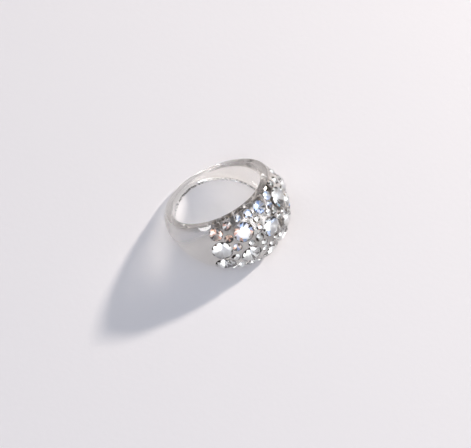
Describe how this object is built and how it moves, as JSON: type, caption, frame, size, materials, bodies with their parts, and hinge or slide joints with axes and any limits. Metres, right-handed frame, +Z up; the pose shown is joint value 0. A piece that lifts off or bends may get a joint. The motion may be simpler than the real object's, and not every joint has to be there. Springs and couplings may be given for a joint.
{
  "type": "cocktail ring",
  "caption": "Domed, tapered cocktail ring of clear cast resin, its wide head set with round foil-backed crystals of mixed sizes; worn on a finger.",
  "frame": {"origin": "centre of the footprint's bounding box, on the table that the ring lies on", "axes": "+Z up from the lower side face that the ring lies on, +X towards the wide domed head, +Y across; the finger hole leans back from +Z, away from the head, by half the taper"},
  "size_m": [0.0232, 0.0222, 0.0128],
  "materials": {
    "clear_resin": "polished, water-clear cast resin",
    "cut_crystal": "cut and polished lead-free crystal glass",
    "silver_foil": "bright silvered foil behind the crystals"
  },
  "bodies": {
    "root": {"resin_band": "clear_resin", "large_crystal_01": "cut_crystal", "large_crystal_02": "cut_crystal", "large_crystal_03": "cut_crystal", "large_crystal_04": "cut_crystal", "large_crystal_05": "cut_crystal", "large_crystal_06": "cut_crystal", "large_crystal_07": "cut_crystal", "large_crystal_08": "cut_crystal", "large_crystal_09": "cut_crystal", "large_crystal_10": "cut_crystal", "large_crystal_11": "cut_crystal", "medium_crystal_01": "cut_crystal", "medium_crystal_02": "cut_crystal", "medium_crystal_03": "cut_crystal", "medium_crystal_04": "cut_crystal", "medium_crystal_05": "cut_crystal", "medium_crystal_06": "cut_crystal", "small_crystal_01": "cut_crystal", "small_crystal_02": "cut_crystal", "small_crystal_03": "cut_crystal", "small_crystal_04": "cut_crystal", "small_crystal_05": "cut_crystal", "small_crystal_06": "cut_crystal", "small_crystal_07": "cut_crystal", "small_crystal_08": "cut_crystal", "small_crystal_09": "cut_crystal", "small_crystal_10": "cut_crystal", "small_crystal_11": "cut_crystal", "small_crystal_12": "cut_crystal", "small_crystal_13": "cut_crystal", "small_crystal_14": "cut_crystal", "fine_crystal_01": "cut_crystal", "fine_crystal_02": "cut_crystal", "fine_crystal_03": "cut_crystal", "fine_crystal_04": "cut_crystal", "fine_crystal_05": "cut_crystal", "fine_crystal_06": "cut_crystal", "fine_crystal_07": "cut_crystal", "fine_crystal_08": "cut_crystal", "fine_crystal_09": "cut_crystal", "fine_crystal_10": "cut_crystal", "fine_crystal_11": "cut_crystal", "fine_crystal_12": "cut_crystal", "fine_crystal_13": "cut_crystal", "fine_crystal_14": "cut_crystal", "fine_crystal_15": "cut_crystal", "fine_crystal_16": "cut_crystal", "fine_crystal_17": "cut_crystal", "fine_crystal_18": "cut_crystal", "fine_crystal_19": "cut_crystal", "fine_crystal_20": "cut_crystal", "fine_crystal_21": "cut_crystal", "large_foil_backs": "silver_foil", "medium_foil_backs": "silver_foil", "small_foil_backs": "silver_foil", "fine_foil_backs": "silver_foil"}
  },
  "joints": []
}
